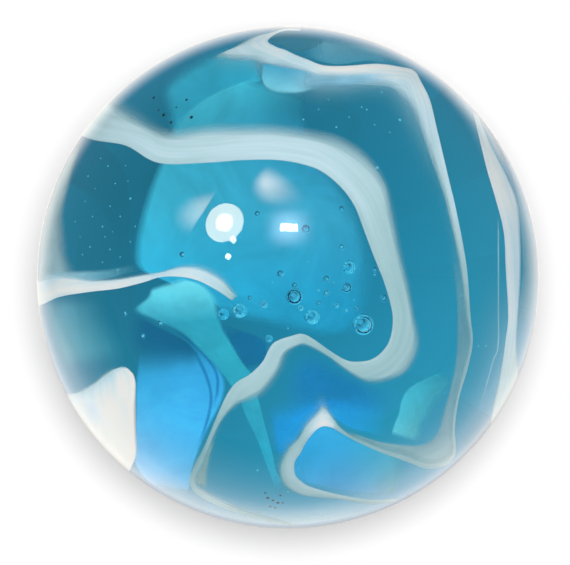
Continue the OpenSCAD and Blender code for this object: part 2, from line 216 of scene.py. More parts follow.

# Films: sheets too faint or too small to be solid. Some are painted shade or painted reflections,
# as each says. With the rows, as those of a veil, go the pairs of colours, the fades and how much the
# film covers where it has faded in.
FILMS = {
    # painted reflection: a pale sheet along the left rim, where the skin mirrors the pale room at a graze
    "left_rim_painted_reflection": ((("92A6AA", "9CAEB0"), ("96ACB2", "A2B6BC")), (0.5, 0, 0.15, 0.1), 0.85, [
        (-80, 54, -82, 55.5, 3, 3), (-83, 48, -86, 49), (-85, 41, -89, 43), (-86.5, 33, -93, 34),
        (-88, 25, -95.5, 26.5), (-87, 17, -97.5, 18), (-86, 9, -98.5, 10), (-83, 2, -99, 2),
        (-82, -2, -99, -2)]),
    # thin sheet above the left swirl
    "over_left": (plain("A8C4CE", "639EB0", "3C8498"), (0, 0.4, 0.1, 0.5), 0.9, [
        (-99, -2, -99, 2, 1.2, 1.2), (-90, -2, -90, 2.8), (-79, -1.5, -79, 3.2), (-71, -0.5, -71, 3.6),
        (-63, 1.5, -63, 5), (-56, 3, -56, 6)]),
    # painted reflection: a pale teal sheet between the left swirl and the patch, where the skin mirrors the
    # bright paper
    "lower_left_painted_reflection": (
        (("50B0C4", "88BECA"), ("50BCCA", "80C6CE"), ("50BCCA", "80C6CE")), (0.7, 0.1, 0.2, 0.3), 0.32, [
        (-72, -7, -97, -7, 2, 2), (-70, -14, -96, -15), (-64, -21, -94, -23), (-60, -27, -91, -31),
        (-62, -34, -88, -39)]),
    # blue sheet between the upper left rim and the sail
    "upper": ((("6CB0BA", "6CB0B8"), ("66B8C4", "68B8C2")), (0, 0.3, 0.15, 0.1), 0.9, [
        (-47, 57, -52, 76, 44, 44), (-39.5, 62.5, -42, 84), (-27.5, 70.5, -31, 90), (-17.5, 76, -21, 93),
        (-9, 78, -13, 94.5)]),
    # pocket of aqua glass under the top of the long swirl, with a paler lower edge
    "pocket": (
        (("3E9CBC", "6CBCCC"), ("3E9CBC", "80C8D8"), ("78B0C8", "8CC4D2")), (0.15, 0.14, 0.12, 0.3), 0.92, [
        (-10.6, 84.3, -10.8, 80.5, 0.3, 0.3), (-8.6, 85, -9.2, 75), (-5.2, 84.3, -5.6, 72.6),
        (-1, 83.5, -0.8, 72), (3.2, 82.7, 4, 72), (7.2, 81.9, 8.6, 73), (12, 81, 13.6, 74.2)]),
    # bluer glass along the lower part of the top of the long swirl
    "under_top": (
        (("89B2C4", "84B8C7"), ("87AEBF", "71AAC0"), ("87AEBF", "71AAC0"),
         ("A6C2CE", "8CB6CA")), (0.5, 0.35, 0.3, 0.4), 0.95, [
        (0.5, 79.5, 1, 74.2, 0.1, 0.1), (5, 81.2, 6, 73.2), (9.5, 81.8, 10.5, 73.8), (14, 81.6, 15, 74.5),
        (20, 81.4, 21, 74.8), (26, 81.5, 27, 75.3), (32, 81.8, 32.5, 75.6), (38, 81.4, 37.5, 74.8),
        (43.5, 80, 42, 73.2)]),
    # dark eye at the top
    "eye": (plain("40788A"), (0.15, 0.15, 0.1, 0.1), 0.7, [
        (-7.5, 93, -7.5, 94, 6, 6), (-3, 91.5, -4.5, 97), (3.5, 88.5, 1.5, 98), (9, 90, 8, 96),
        (14.5, 93, 14.5, 94)]),
    # blue glass between the long swirl and the top rim
    "top": ((("5DA0B6", "86ABB8"),), (0, 0.3, 0.25, 0.3), 0.6, [
        (5, 87.5, 5, 96, 6, 6), (18.5, 84, 19, 95), (32, 85.5, 33, 92), (44.5, 83.5, 46, 86)]),
    # painted reflection: a pale sheet outside the rim swirl, along the right rim
    "right_rim_painted_reflection": ((("6C9AA8", "7CA4B0"),), (0, 0.1, 0.25, 0.25), 0.6, [
        (88, 40, 90, 41, 3, 3), (91, 29, 94, 30), (92, 19, 97, 20), (92.5, 9, 98.5, 9.5), (92.5, 1, 99, 1),
        (91.5, -9, 98.5, -9.5), (91, -15, 97.5, -16), (90.5, -27, 95, -28.5)]),
    # painted reflection: a pale haze inside the upper right rim
    "upper_right_painted_reflection": ((("8CB8C8", "B0C6D0"),), (0.8, 0, 0.35, 0.3), 0.55, [
        (56, 74, 60.5, 78.5, 2, 2), (63, 68, 68.5, 72.5), (68.5, 61, 74.5, 65.5), (73, 53, 80, 57.5),
        (76.5, 44.5, 84.5, 48.5), (79.5, 36, 88, 39)]),
    # painted shadow: a dark line along the edge of the rim swirl
    "rim_painted_shadow": (plain("2A6478"), (0.4, 0.4, 0.1, 0.3), 0.7, [
        (75.2, 64, 76.4, 64, 2, 2), (80, 57.6, 81.4, 57.4), (85, 47.6, 86.6, 47.4),
        (88.2, 38.8, 89.8, 38.6), (91, 28.9, 92.6, 28.7)]),
    # thread of white glass beside the rim swirl
    "thread": (plain("8AB4C0"), (0.3, 0.3, 0.1, 0.3), 0.7, [
        (82.5, 25, 83.3, 25, 2, 2), (82.5, 11, 83.3, 11), (82.5, -9, 83.3, -9), (82.5, -27, 83.3, -27),
        (80.5, -33, 81.3, -33), (77.3, -45, 78.1, -45), (74, -57, 74.8, -57)]),
    # greyish sheet inside the lower corner of the long swirl, and up its right side
    "corner": (
        (("84A8AA", "84A8AA"), ("92ACAE", "92ACAE"), ("84A2A8", "90A8AE"), ("6E98A2", "7A9FA8"),
         ("6597A3", "6597A3")), (0.2, 0.05, 0.06, 0.2), 0.75, [
        (22.7, -59.8, 22.7, -62, 1.2, 1.2), (28.7, -62, 28.7, -65.3), (36.7, -64.3, 36.7, -69),
        (44.6, -65.3, 44.6, -72), (50.6, -65.5, 51, -74.3), (55.4, -64, 58, -75), (58.6, -60, 64, -73),
        (60.6, -53.6, 66, -68), (62.2, -48, 66, -59), (64, -42, 67.4, -48), (65.5, -33.7, 70.3, -37),
        (66, -23, 72.4, -25), (66, -9, 71.6, -10), (64.5, 3, 70.3, 2), (63, 15, 68.6, 14)]),
    # beige skin on the tail of the main swirl
    "tail": ((("7A9E9D", "7A9E9D"), ("90A8A4", "84A29E")), (0.1, 0.25, 0.25, 0.1), 0.8, [
        (-31.3, -62, -27.5, -62, 1.2, 1.2), (-33.7, -67.5, -29.5, -67.5), (-36.5, -72.7, -30.7, -72.7),
        (-38.4, -76.7, -31.5, -78.7), (-39, -80.7, -31.5, -83.9)]),
    # painted reflection: a pale sheet along the bottom rim, where the skin mirrors the bright paper
    "bottom_rim_painted_reflection": ((("B8CED4", "C4D6DC"),), (0.7, 0.1, 0.3, 0.3), 0.35, [
        (-59.6, -66.1, -65.9, -73.2, 1.5, 1.5), (-44.5, -77.1, -49.3, -85.3), (-23, -86, -25.5, -95.1),
        (0, -89, 0, -98.5), (23, -86, 25.5, -95.1), (41.8, -78.6, 46.2, -87)]),
    # bluish smudge in the white patch
    "smudge": (plain("A8C0D0"), (0.45, 0.45, 0.45, 0.45), 0.4, [
        (-73, -46, -84, -47, 0.1, 0.1), (-73, -54, -82, -54), (-72, -61, -78, -60)]),
    # painted shade: a dark sheet under the trunk
    "shade": (plain("1E5C80"), (0.1, 0.8, 0.25, 0.2), 0.65, [
        (-63, -12, -66, -24, 18, 18), (-54, -17, -60, -36, 22, 22), (-46, -21, -50, -39, 25, 25),
        (-40, -25, -42, -36, 27, 27), (-34, -31, -35, -37, 29, 29)]),
    # dark blue notch between the trunk and the main swirl
    "notch": (plain("2E7494"), (0.08, 0.2, 0.35, 0.2), 0.9, [
        (-28, -17, -26, -17, 29, 29), (-24.7, -21.7, -19, -20.5), (-22.7, -26.9, -10.4, -23),
        (-20.7, -29.7, -7, -26.9), (-17.9, -34, -8, -31.5), (-15.5, -38, -11, -36)]),
    # painted shade: a blue sheet under the bend of the main swirl
    "bend_painted_shade": (
        (("589ECE", "4C90BA"), ("5294BC", "468AAE"), ("5CA4D4", "4C90BA")), (0.45, 0.4, 0.25, 0.4), 0.75, [
        (-5, -55, -2, -32, 50, 50), (6, -57, 8, -28), (14, -55, 16, -31), (24, -54, 25, -37),
        (34, -57, 35, -41), (47, -56, 48, -41)]),
    # folds along the right edge of the left veil
    "outer_fold": (plain("1D6E9C"), (0.45, 0.45, 0.2, 0.3), 0.6, [
        (-48, -20, -46.5, -19, 40, 40), (-38, -27, -36, -26), (-30, -37, -28, -36), (-29, -45, -27, -45),
        (-31, -52, -29, -52)]),
    "inner_fold": (plain("1D6E9C"), (0.45, 0.45, 0.2, 0.3), 0.6, [
        (-40, -27, -38, -26, 41, 41), (-34, -38, -32, -37), (-31.5, -48, -29.5, -48), (-34, -60, -32, -60),
        (-38, -70, -36, -70)]),
}

# Seeds (tiny bubbles) and specks of iron and soot: places [x, y] on the chart, depth below the skin in
# percent of the radius, and diameter in millimetres. The seeds are drawn as pale grains with a painted
# glow in place of tiny bubbles.
SEEDS = [
    (-79, 40, 9, 0.07), (-62, 31, 12, 0.08), (-73, 20, 8, 0.07), (-78, 12, 10, 0.06), (-70, 11, 14, 0.06),
    (-67, 3, 12, 0.07), (-74, 47, 8, 0.05), (-71, 44, 10, 0.06), (-72, 16, 12, 0.05), (-76, 1, 9, 0.06),
    (-81, 9, 8, 0.05), (21, 27, 30, 0.09), (21, 12, 26, 0.08), (-12, 25, 22, 0.07), (-41, 9, 20, 0.08),
    (-50, -18, 12, 0.1), (-64, -14, 14, 0.09), (-57, -23, 12, 0.09), (23, -13, 30, 0.1), (44, 62, 6, 0.1),
    (31, 66, 8, 0.06), (37, 73, 8, 0.06), (29, 67, 9, 0.06), (6, 62, 9, 0.07), (19, 59, 9, 0.06),
    (-84, 22, 7, 0.05), (-80, 30, 9, 0.05), (-68, 37, 11, 0.05), (-66, 24, 12, 0.06), (-62, 14, 13, 0.05),
    (-70, 28, 10, 0.05), (-76, 35, 8, 0.04), (-64, 44, 10, 0.05), (-82, 16, 8, 0.04), (-66, 8, 12, 0.05),
    (-73, 6, 9, 0.05), (-60, 20, 13, 0.05), (-69, 18, 10, 0.04), (-77, 24, 8, 0.05), (-63, 38, 11, 0.04),
    (12, 66, 8, 0.05), (24, 63, 8, 0.05), (40, 57, 8, 0.05), (34, 60, 9, 0.05), (16, 70, 8, 0.05),
    (-47, 36, 18, 0.05), (-20, -6, 20, 0.06), (8, 6, 24, 0.06), (26, -9, 26, 0.06), (0, -20, 26, 0.06),
    (-6, -2, 24, 0.06), (18, -2, 26, 0.06), (-40, -62, 14, 0.05), (-46, -48, 14, 0.05), (50, -20, 8, 0.05),
    (35, 43, 1, 0.09), (75, -27, 8, 0.07), (78, -27, 8, 0.07), (-5, 31, 16, 0.05), (12, -5, 24, 0.08),
    (15, -6, 26, 0.07), (-2, 1, 22, 0.07), (34, 1, 20, 0.06), (-12, -76, 12, 0.08), (0, -84.5, 3, 0.08),
]
SPECKS = [
    (-53, 71, 5, 0.1), (-49, 64, 5, 0.12), (-40, 70, 5, 0.1), (-38, 63, 5, 0.12), (-44, 67, 6, 0.07),
    (-8, -87, 3, 0.12), (-4, -89, 3, 0.12), (-7, -90.5, 3, 0.1), (-51, 66, 5, 0.06), (-46, 61, 5, 0.1),
    (-9, -85, 3, 0.08), (-6, -88, 3, 0.1), (-3, -86, 3, 0.07), (-5, -91, 3, 0.1), (-2, -89, 3, 0.08),
    (-2, 77, 3, 0.08), (3, 52, 3, 0.03),
]

# Air bubbles: the place [x, y] on the chart where the bubble is seen, its depth below the skin in
# percent of the radius, and its diameter in millimetres.
BUBBLES = [
    (29.5, -18.5, 35, 0.6), (2.5, -7.5, 30, 0.48), (9.5, -15.5, 45, 0.42), (-19, -13, 40, 0.42),
    (24, 4, 50, 0.36), (23, -4, 30, 0.3), (-25.5, -14.5, 55, 0.3), (-9.5, -10.5, 35, 0.24),
]
# Bubbles too small to be solid, in the same way.
SMALL_BUBBLES = [
    (7, 19, 25, 0.25), (15, -0.5, 30, 0.2), (15, -6, 32, 0.2), (-3, 1.5, 28, 0.2), (34, 3, 24, 0.17),
    (21, 27, 28, 0.15), (21, 12, 28, 0.15), (-12, 25, 24, 0.16), (-41.5, 9, 22, 0.17), (37.5, -8, 26, 0.22),
    (-7.5, -24, 34, 0.22), (-50, -18, 20, 0.17), (-64, -14.5, 14, 0.13), (-57, -23, 18, 0.15),
    (2.5, -3, 26, 0.16), (19, -11, 34, 0.16), (12, -10, 30, 0.14), (-15, -8, 30, 0.14), (27, -12, 30, 0.14),
    (5, -12, 38, 0.18),
]

# Patches of light that the skin mirrors, with rows as those of a veil. Their depths aren't used.
SMEAR = [
    (-9, 44, -5, 44, 0, 0), (-12.5, 40.5, -1, 41), (-14.5, 37, 3, 37.5), (-15, 33.5, 6.5, 34),
    (-13, 29.5, 9, 30), (-9, 27, 9, 26),
]
WEDGE = [
    (-27, 34.5, -36, 33.5, 0, 0), (-29.9, 30, -41, 31), (-32.7, 25.5, -45, 27), (-35.5, 21.3, -46, 22),
    (-38.5, 15.7, -43.5, 16.5),
]
FLASH_GLOW = [(-10, 10, -10, 29, 0, 0), (0, 10, 0, 29), (11, 10, 11, 29)]


# ---------------------------------------------------------------------------------------------
# Colours and nodes


def from_hex(code):
    """An sRGB colour written as RRGGBB, as linear red, green and blue."""
    channels = [int(code[i:i + 2], 16) / 255 for i in (0, 2, 4)]
    return tuple(c / 12.92 if c <= 0.04045 else ((c + 0.055) / 1.055) ** 2.4 for c in channels)


def add_node(tree, kind, inputs=None, **settings):
    """Adds a node with its properties, and gives its inputs their values or links.

    A socket is linked, and a node stands for its first output.
    """
    node = tree.nodes.new("ShaderNode" + kind)
    for name, setting in settings.items():
        setattr(node, name, setting)
    for key, source in (inputs or {}).items():
        if isinstance(source, bpy.types.Node):
            source = source.outputs[0]
        if isinstance(source, bpy.types.NodeSocket):
            tree.links.new(source, node.inputs[key])
        else:
            node.inputs[key].default_value = source
    return node


def empty_tree(owner):
    """The node tree of a new material or world, with no nodes in it."""
    owner.use_nodes = True
    owner.node_tree.nodes.clear()
    return owner.node_tree


def new_material(name):
    """A material with an empty node tree, and that tree."""
    material = bpy.data.materials.new(name)
    return material, empty_tree(material)


def by_ray(tree, shader, choices):
    """Chooses a shader by the kind of ray that meets it. Later choices come before earlier ones."""
    path = add_node(tree, "LightPath")
    for ray, choice in choices:
        shader = add_node(tree, "MixShader", {0: path.outputs[ray], 1: shader, 2: choice})
    return shader


def by_cover(tree, shader):
    """Lets a shader fade into what lies behind it, as the attribute cover says."""
    cover = add_node(tree, "Attribute", attribute_name="cover")
    clear = add_node(tree, "BsdfTransparent")
    return add_node(tree, "MixShader", {0: cover.outputs["Fac"], 1: clear, 2: shader})


def clear_glass(settings):
    """Clear aqua soda glass, gathered hot and fire polished: a bright smooth skin over a deep even tint."""
    material, tree = new_material("clear_aqua_glass")
    place = add_node(tree, "TexCoord")
    # The skin ripples very faintly, every 4 mm or so.
    ripple = add_node(
        tree, "TexNoise", {"Vector": place.outputs["Object"], "Scale": 1 / (4 * MM), "Detail": 1.0})
    skin = add_node(tree, "Bump", {"Height": ripple, "Strength": 0.02, "Distance": 0.02 * MM})
    body = add_node(tree, "BsdfPrincipled", {
        "Base Color": WHITE, "Roughness": 0.0, "IOR": BEND, "Transmission Weight": 1.0, "Normal": skin})
    # A part of the lamps' light reaches what is inside, and less of it comes out below.
    side = add_node(tree, "NewGeometry")
    share = add_node(tree, "MapRange", {
        "Value": side.outputs["Backfacing"], "To Min": settings.shadow_light,
        "To Max": settings.lamps_inside})
    lamp_light = add_node(tree, "BsdfTransparent", {"Color": share})
    # The ball takes the room's light from the paper and gives it no colour, so its shadow is neutral.
    path = add_node(tree, "LightPath")
    dull = add_node(tree, "BsdfDiffuse", {"Color": (0, 0, 0, 1)})
    outside = add_node(
        tree, "Math", {0: path.outputs["Is Diffuse Ray"], 1: side.outputs["Backfacing"]},
        operation="SUBTRACT", use_clamp=True)
    faced = add_node(tree, "MixShader", {0: outside, 1: body, 2: dull})
    shown = by_ray(tree, faced, (("Is Shadow Ray", lamp_light),))
    tint = add_node(
        tree, "VolumeAbsorption", {"Color": (*settings.aqua, 1), "Density": settings.strength})
    add_node(tree, "OutputMaterial", {"Surface": shown, "Volume": tint})
    return material


def white_glass(name, settings, see_through):
    """Opaque white glass, drawn out in the heat: milky, with faint streaks along its flow.

    It gets bluer where it is thin. The swirls' attribute flow holds millimetres along, millimetres
    across and thinness, and the thinness also carries painted light and shade along the swirls. It has a
    painted glow: an emission in its own colour that stands in for light soaking through the milky glass
    and lifts its shaded sides.
    """
    material, tree = new_material(name)
    flow = add_node(tree, "Attribute", attribute_name="flow").outputs["Vector"]
    thinness_and_painted_shade = add_node(tree, "SeparateXYZ", {0: flow}).outputs["Z"]
    # Streaks about 4 mm long and 0.2 mm wide.
    lines = add_node(tree, "Mapping", {"Vector": flow, "Scale": (0.25, 5, 1)})
    streaks = add_node(tree, "TexNoise", {"Vector": lines, "Scale": 1.0, "Detail": 3.0})
    streaky = add_node(tree, "Math", {0: streaks, 1: 0.5, 2: -0.25}, operation="MULTIPLY_ADD")
    thin = add_node(tree, "Math", {0: thinness_and_painted_shade, 1: streaky}, operation="ADD", use_clamp=True)
    # painted light and shade: the thinness set for each row also makes its stretch lighter or darker
    colour = add_node(tree, "ValToRGB", {0: thin})
    stops = colour.color_ramp.elements
    stops[0].color = (*settings.white, 1)
    stops[1].color = (*settings.sheer_white, 1)
    stops.new(0.3).color = (*settings.pale_white, 1)
    stops.new(0.6).color = (*settings.thin_white, 1)
    # painted glow: the white glass emits its own colour
    body = add_node(tree, "BsdfPrincipled", {
        "Base Color": colour, "Roughness": 0.5, "Specular IOR Level": 0.0,
        "Emission Color": colour, "Emission Strength": settings.white_painted_glow})
    add_node(tree, "OutputMaterial", {"Surface": by_cover(tree, body) if see_through else body})
    return material


def veil_glass(name, glow, see_through):
    """White glass drawn out thin inside the clear glass: a milky sheet with faint wisps.

    It has a painted glow: an emission in its own colour that stands in for light from below coming up through
    so thin a sheet.
    """
    material, tree = new_material(name)
    tint = add_node(tree, "Attribute", attribute_name="tint")
    place = add_node(tree, "TexCoord")
    # Wisps about 2 mm apart.
    wisps = add_node(tree, "TexNoise", {
        "Vector": place.outputs["Object"], "Scale": 1 / (2 * MM), "Detail": 5.0, "Roughness": 0.65,
        "Distortion": 0.8})
    shade = add_node(tree, "MapRange", {
        "Value": wisps, "From Min": 0.3, "From Max": 0.7, "To Min": 0.8, "To Max": 1.08})
    colour = add_node(
        tree, "Mix", {0: 1.0, 6: tint.outputs["Color"], 7: shade},
        data_type="RGBA", blend_type="MULTIPLY").outputs[2]
    sheet = add_node(tree, "BsdfDiffuse", {"Color": colour})
    # painted glow: the sheet emits its own colour
    light = add_node(tree, "Emission", {"Color": colour, "Strength": glow})
    body = add_node(tree, "AddShader", {0: sheet, 1: light})
    add_node(tree, "OutputMaterial", {"Surface": by_cover(tree, body) if see_through else body})
    return material


def bubble_skin():
    """The skin of an air bubble in the glass: a dark rim with a bright crescent."""
    material, tree = new_material("bubble_skin")
    wall = add_node(tree, "BsdfGlass", {"Roughness": 0.0, "IOR": 1 / BEND})
    lamp_light = add_node(tree, "BsdfTransparent")
    add_node(tree, "OutputMaterial", {
        "Surface": by_ray(tree, wall, (("Is Shadow Ray", lamp_light),))})
    return material


def through_glass(tree, kind, shade, inner_light):
    """What lies beyond the glass: shade for the eye, and inner_light for rays that light what is inside."""
    path = add_node(tree, "LightPath")
    bounced = add_node(tree, "Math", {0: path.outputs["Diffuse Depth"], 1: 0.5}, operation="GREATER_THAN")
    light = add_node(tree, kind, {"Color": WHITE, "Strength": inner_light})
    return add_node(tree, "MixShader", {0: bounced, 1: shade, 2: light})


def paper_sheet(stage):
    """Matt white paper. It looks pure white to the eye and keeps the ball's shadow.

    The ball's skin mirrors it brightly towards the front, and only close by towards the back. Through
    the ball it shows in the ball's own shade, which is lighter towards the front right. Distances are
    in radii from the ball's foot.
    """
    pale = (0.8, 0.8, 0.8, 1)
    back_share, front_share = 0.1, -0.3  # how far back, in shares, the front's light starts and is full
    back_near, back_far, back_light = 1.45, 2.3, 1.25  # behind, the light goes down between these
    fall_start, fall_power = 2.2, -1.45  # in front, it falls off from here, by this power
    # painted shade: close to the ball the mirrored paper dims to this share, for the ball's shadow
    contact, contact_end, contact_painted_shade = 1.0, 1.4, 0.45  # and close to the ball it has this share
    shade_start, shade_end = 0.4, 2.3  # the ball's shade on the paper goes out between these
    material, tree = new_material("white_paper_sheet")
    paper = add_node(tree, "BsdfDiffuse", {"Color": pale})
    lift = add_node(tree, "Emission", {"Strength": stage.floor_lift})
    sheet = add_node(tree, "AddShader", {0: paper, 1: lift})
    place = add_node(tree, "TexCoord")
    flat = add_node(
        tree, "VectorMath", {0: place.outputs["Object"], 1: (1 / BALL_R, 1 / BALL_R, 0)},
        operation="MULTIPLY")
    away = add_node(tree, "VectorMath", {0: flat}, operation="LENGTH").outputs["Value"]
    toward = add_node(tree, "VectorMath", {0: flat}, operation="NORMALIZE")
    parts = add_node(tree, "SeparateXYZ", {0: toward})
    front = add_node(
        tree, "MapRange", {"Value": parts.outputs["Y"], "From Min": back_share, "From Max": front_share},
        interpolation_type="SMOOTHSTEP")
    behind = add_node(
        tree, "MapRange",
        {"Value": away, "From Min": back_near, "From Max": back_far, "To Min": back_light,
         "To Max": stage.room_mirrored},
        interpolation_type="SMOOTHSTEP")
    reach = add_node(tree, "Math", {0: away, 1: 1 / fall_start}, operation="MULTIPLY")
    falling = add_node(tree, "Math", {0: reach, 1: fall_power}, operation="POWER")
    held = add_node(tree, "Math", {0: falling, 1: 1.0}, operation="MINIMUM")
    # painted shade of the ball on the mirrored paper near its foot
    near_ball_painted_shade = add_node(
        tree, "MapRange",
        {"Value": away, "From Min": contact, "From Max": contact_end,
         "To Min": contact_painted_shade * stage.front_mirrored, "To Max": stage.front_mirrored},
        interpolation_type="SMOOTHSTEP")
    before = add_node(tree, "Math", {0: held, 1: near_ball_painted_shade}, operation="MULTIPLY")
    strength = add_node(tree, "Mix", {0: front, 2: behind, 3: before}, data_type="FLOAT")
    mirrored_sheet = add_node(tree, "Emission", {"Color": (*stage.room_tone, 1), "Strength": strength})
    lean = add_node(
        tree, "VectorMath", {0: flat, 1: stage.shade_lean}, operation="DOT_PRODUCT").outputs["Value"]
    shade = add_node(tree, "Math", {0: lean, 1: stage.shade_under}, operation="ADD")
    under = add_node(
        tree, "MapRange", {"Value": away, "From Min": shade_start, "From Max": shade_end, "To Min": shade},
        interpolation_type="SMOOTHSTEP")
    shown_under = add_node(tree, "Emission", {"Strength": under})
    through = through_glass(tree, "Emission", shown_under, stage.inner_light)
    add_node(tree, "OutputMaterial", {"Surface": by_ray(tree, paper, (
        ("Is Camera Ray", sheet), ("Is Glossy Ray", mirrored_sheet), ("Is Transmission Ray", through)))})
    return material


# ---------------------------------------------------------------------------------------------
# Places on the ball and in it


def leaned(points):
    """Places on the chart's own axes, in radii, brought to the frame's axes and the ball's centre."""
    return points @ AXES * BALL_R + BALL_CENTRE


def unit(v):
    """Vectors brought to length 1."""
    return v / np.linalg.norm(v, axis=-1, keepdims=True)


def direction(x, y):
    """The chart's place x, y as a direction: b off the pole as seen, and past the rim on down the back."""
    reach = np.maximum(np.hypot(x, y), TINY)
    back = reach > RIM
    fold = np.where(back, 2 * RIM / reach - 1, 1) / RIM
    height = np.sqrt(np.maximum(0, 1 - (reach * fold) ** 2))
    return np.stack([x * fold, y * fold, np.where(back, -height, height)], axis=-1)


def under_skin(x, y, depth):
    """The place at a depth (a share of the radius) that is seen at the chart's place x, y.

    With b the reach off the pole, the angle off the pole is asin b - asin(b / n) + asin(b / (n (1 - depth))),
    because the skin bends the line of sight.
    """
    reach = np.maximum(np.hypot(x, y) / RIM, TINY)
    within = 1 - depth
    angle = np.arcsin(reach) - np.arcsin(reach / BEND) + np.arcsin(np.minimum(reach / (BEND * within), 1))
    side = within * np.sin(angle) / (reach * RIM)
    return leaned(np.stack([x * side, y * side, within * np.cos(angle)], axis=-1))


def along_sight(x, y, deep, off=0.0):
    """The place seen at the chart's place x, y, a share deep of the way through the ball, and off radii more.

    The line of sight enters at (x, y, sqrt(1 - b^2)) and is bent towards the centre by Snell's law. Its
    way through the ball is 2 sqrt(1 - (b / n)^2) long.
    """
    x, y = x / RIM, y / RIM
    reach2 = np.minimum(x * x + y * y, GRAZING)
    height = np.sqrt(1 - reach2)
    inside = np.sqrt(1 - reach2 / BEND ** 2)
    normal = np.stack([x, y, height], axis=-1)
    line = np.stack([0 * x, 0 * x, -1 / BEND + 0 * x], axis=-1) + (height / BEND - inside)[..., None] * normal
    return leaned(normal + (deep * 2 * inside + off)[..., None] * line)


def mirrored(x, y):
    """The direction that the ball's skin mirrors towards the camera at the chart's place x, y.

    With n the skin's normal there and c the direction of the camera, it is 2 (n . c) n - c.
    """
    right, up, out = AXES
    x, y = np.asarray(x)[..., None] / RIM, np.asarray(y)[..., None] / RIM
    normal = x * right + y * up + np.sqrt(1 - x * x - y * y) * out
    return 2 * (normal @ out)[..., None] * normal - out


def filled(rows):
    """The rows as an array, where a row that leaves out its last values keeps those of the row before."""
    whole = [rows[0]]
    for row in rows[1:]:
        whole.append((*row, *whole[-1][len(row):]))
    return np.array(whole, float)


def smooth(rows, steps):
    """A smooth curve through the rows: Catmull-Rom cubics with steps points to a span."""
    p = filled(rows)
    p = np.vstack([2 * p[0] - p[1], p, 2 * p[-1] - p[-2]])
    t = np.linspace(0, len(p) - 3, (len(p) - 3) * steps + 1)
    i = np.minimum(t.astype(int), len(p) - 4)
    s = (t - i)[:, None]
    a, b, c, d = (p[i + k] for k in range(4))
    return b + s / 2 * ((c - a) + s * ((2 * a - 5 * b + 4 * c - d) + s * (3 * b - a - 3 * c + d)))


def ramp(t, width):
    """A smooth step: 3 t^2 - 2 t^3 from 0 at t = 0 to 1 at t = width."""
    t = np.clip(t / max(width, TINY), 0, 1)
    return t * t * (3 - 2 * t)


# ---------------------------------------------------------------------------------------------
# Meshes


# How a mesh holds an attribute, by the count of its numbers for each point.
ATTRIBUTE_KINDS = {1: ("FLOAT", "value"), 3: ("FLOAT_VECTOR", "vector"), 4: ("FLOAT_COLOR", "color")}


def new_object(name, points, faces, material, **attributes):
    """A smooth shaded object from points and faces, with its place in its mesh.

    An attribute is one number, a vector of three or a colour of four for each point.
    """
    mesh = bpy.data.meshes.new(name)
    mesh.from_pydata(points.reshape(-1, 3), [], faces)
    mesh.shade_smooth()
    for key, values in attributes.items():
        kind, field = ATTRIBUTE_KINDS[values.size // len(mesh.vertices)]
        layer = mesh.attributes.new(key, kind, "POINT")
        layer.data.foreach_set(field, values.astype(np.float32).ravel())
    mesh.materials.append(material)
    mesh.update()
    thing = bpy.data.objects.new(name, mesh)
    bpy.context.scene.collection.objects.link(thing)
    return thing


def make_piece(name, points, faces, material, **attributes):
    """A piece of the marble, on the body root."""
    piece = new_object(name, points, faces, material, **attributes)
    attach(piece, "root")
    return piece


def sharpen(mesh, points):
    """Marks the edges between these points as sharp, so the faces on each side keep their own shading."""
    ends = np.empty(2 * len(mesh.edges), dtype=np.int32)
    mesh.edges.foreach_get("vertices", ends)
    sharp = np.isin(ends.reshape(-1, 2), points).all(axis=1)
    mesh.attributes.new("sharp_edge", "BOOLEAN", "EDGE").data.foreach_set("value", sharp)


def grid_faces(rows, columns, ring=False):
    """Quads of a grid with rows by columns points, closed round the columns where it is a ring."""
    across = columns if ring else columns - 1
    i, k = np.meshgrid(np.arange(rows - 1), np.arange(across), indexing="ij")
    a = i * columns + k
    b = i * columns + (k + 1) % columns
    return np.stack([a, b, b + columns, a + columns], axis=-1).reshape(-1, 4).tolist()


def ball_mesh(radius, rings, sides):
    """Points and faces of a sphere: rings between its poles, and sides round them."""
    polar = np.pi * np.arange(1, rings) / rings
    turn = 2 * np.pi * np.arange(sides) / sides
    polar, turn = np.meshgrid(polar, turn, indexing="ij")
    body = np.stack([np.sin(polar) * np.cos(turn), np.sin(polar) * np.sin(turn), np.cos(polar)], axis=-1)
    points = np.vstack([body.reshape(-1, 3), [[0, 0, 1], [0, 0, -1]]]) * radius
    quads = [[q[0], q[3], q[2], q[1]] for q in grid_faces(rings - 1, sides, ring=True)]
    top, bottom, last = len(points) - 2, len(points) - 1, (rings - 2) * sides
    caps = [[top, k, (k + 1) % sides] for k in range(sides)]
    caps += [[bottom, last + (k + 1) % sides, last + k] for k in range(sides)]
    return points, quads + caps


def swirl_path(rows):
    """Along a swirl: unit vectors of its crisp and soft edges and its curtain's tip, and more, as columns."""
    path = smooth(rows, STEPS)
    crisp = unit(direction(path[:, 0], path[:, 1]))
    soft = unit(direction(path[:, 2], path[:, 3]))
    width = np.linalg.norm(soft - crisp, axis=1, keepdims=True)
    full = np.minimum(width / FULL_WIDTH, 1)
    tip = unit(soft + unit(soft - crisp) * full * CURTAIN_REACH)
    solid = np.clip(path[:, 4:5], 0, MOST_SOLID)
    thin, sheet = np.clip(path[:, 5:6], 0, 1), np.clip(path[:, 6:7], 0, 1)
    middle = (crisp + soft) / 2
    gone = np.concatenate([[0], np.cumsum(np.linalg.norm(np.diff(middle, axis=0), axis=1))])[:, None]
    return crisp, soft, tip, width, full, solid, thin, gone, sheet


def swirl_place(path, w, depth):
    """A place across a swirl: w runs from 0 at the crisp edge over 1 at the soft edge to 2 at the tip."""
    crisp, soft, tip = (edge[:, None] for edge in path[:3])
    w = w[..., None]
    place = np.where(w < 1, crisp * (1 - w) + soft * w, soft * (2 - w) + tip * (w - 1))
    return leaned(unit(place) * (1 - depth[..., None]))


